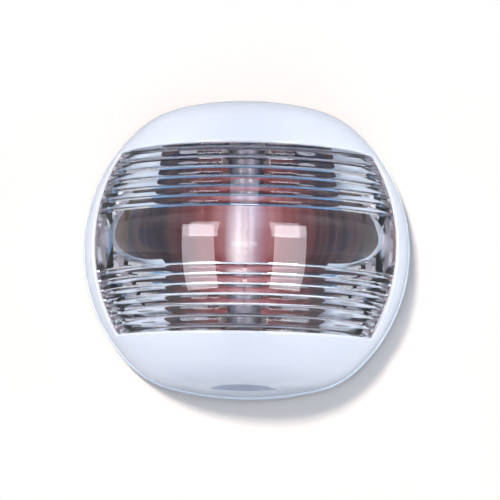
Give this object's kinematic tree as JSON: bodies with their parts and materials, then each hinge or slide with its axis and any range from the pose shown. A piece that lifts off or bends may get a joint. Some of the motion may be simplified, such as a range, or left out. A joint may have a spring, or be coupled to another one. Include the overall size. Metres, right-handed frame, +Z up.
{
  "type": "navigation light",
  "caption": "Compact half-round bulkhead navigation light with a clear ribbed lens, a pull-off front cover with a release slot below, and a festoon bulb in spring clips.",
  "frame": {"origin": "centre of the rear mounting face", "axes": "+Y out of the rear mounting face into the bulkhead, +Z up, +X to the right; the lens faces -Y"},
  "size_m": [0.08, 0.0414, 0.073],
  "materials": {
    "white_plastic": "gloss white, weather-resistant",
    "clear_lens": "clear moulded acrylic, polished",
    "black_plastic": "satin black",
    "soft_rubber": "matt black",
    "pale_rubber": "matt grey",
    "stainless": "stainless steel",
    "plated_brass": "nickel-plated brass",
    "bulb_glass": "clear glass",
    "bulb_metal": "plated"
  },
  "bodies": {
    "base": {"mounting_gasket": "soft_rubber", "base_housing": "white_plastic", "cable_grommet": "soft_rubber", "cover_seal": "pale_rubber", "lamp_carrier": "black_plastic", "carrier_screws": "stainless", "upper_contact": "plated_brass", "lower_contact": "plated_brass", "contact_rivets": "plated_brass", "upper_strap": "plated_brass", "lower_strap": "plated_brass", "terminal_clamps": "stainless", "terminal_screws": "stainless"},
    "cover": {"front_cover": "white_plastic", "lens": "clear_lens", "upper_lens_seal": "pale_rubber", "lower_lens_seal": "pale_rubber"},
    "bulb": {"bulb_glass": "bulb_glass", "upper_bulb_cap": "bulb_metal", "lower_bulb_cap": "bulb_metal", "bulb_filament": "bulb_metal", "filament_leads": "bulb_metal"}
  },
  "joints": [
    {"name": "cover_slide", "type": "slide", "parent": "base", "child": "cover", "axis": [0, -1, 0], "range_m": [0, 0.055]},
    {"name": "bulb_pull", "type": "slide", "parent": "base", "child": "bulb", "axis": [0, -1, 0], "range_m": [0, 0.006]}
  ]
}
